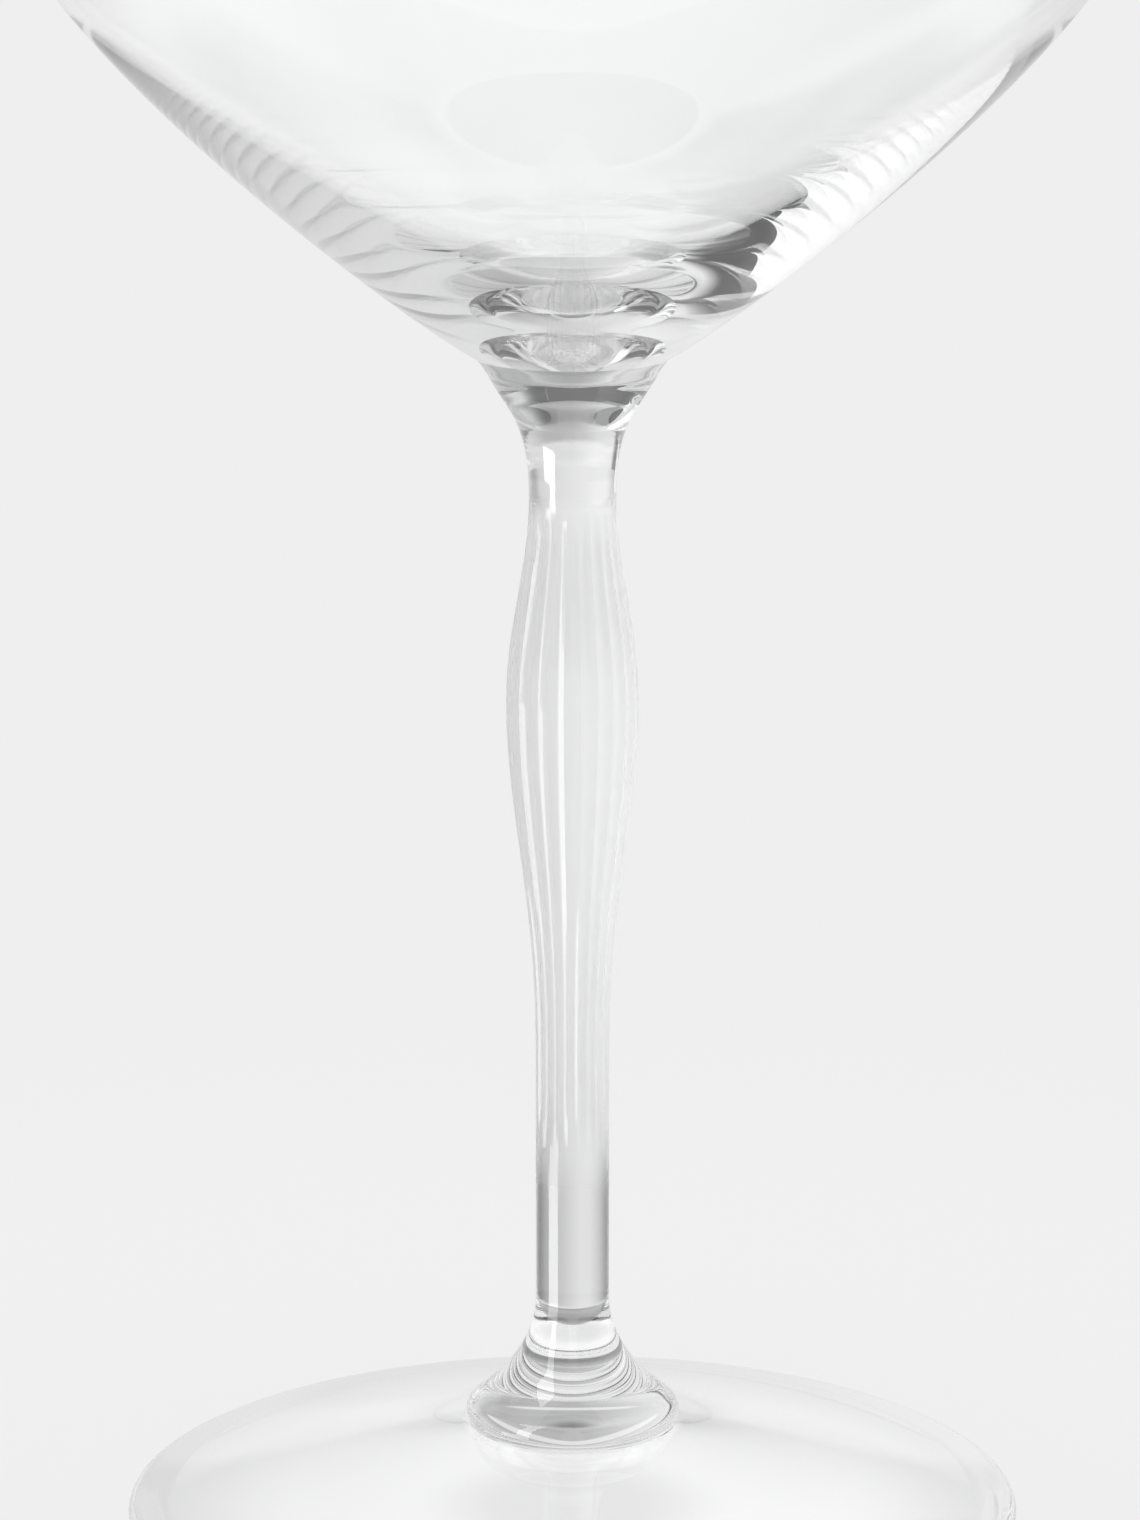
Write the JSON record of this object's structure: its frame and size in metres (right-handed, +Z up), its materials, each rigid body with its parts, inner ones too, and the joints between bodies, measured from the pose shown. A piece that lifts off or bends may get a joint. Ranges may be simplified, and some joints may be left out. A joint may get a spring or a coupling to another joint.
{
  "type": "burgundy glass",
  "caption": "Stemmed burgundy glass: a wide thin-walled bowl on a cone collar, a swelling fluted satin stem, and a flared collar with a bead on a round hollow foot.",
  "frame": {"origin": "centre of the foot's resting ring, on the surface that the glass stands on", "axes": "+Z up the glass's own axis, towards the rim; the glass is round, so X and Y are free, and one flute faces -Y"},
  "size_m": [0.11, 0.11, 0.236],
  "materials": {
    "clear_glass": "clear polished crystal",
    "satin_glass": "satin on the flutes, fading to polished at both ends"
  },
  "bodies": {
    "root": {"foot": "clear_glass", "foot_collar": "clear_glass", "stem": "satin_glass", "bowl_collar": "clear_glass", "bowl": "clear_glass"}
  },
  "joints": []
}
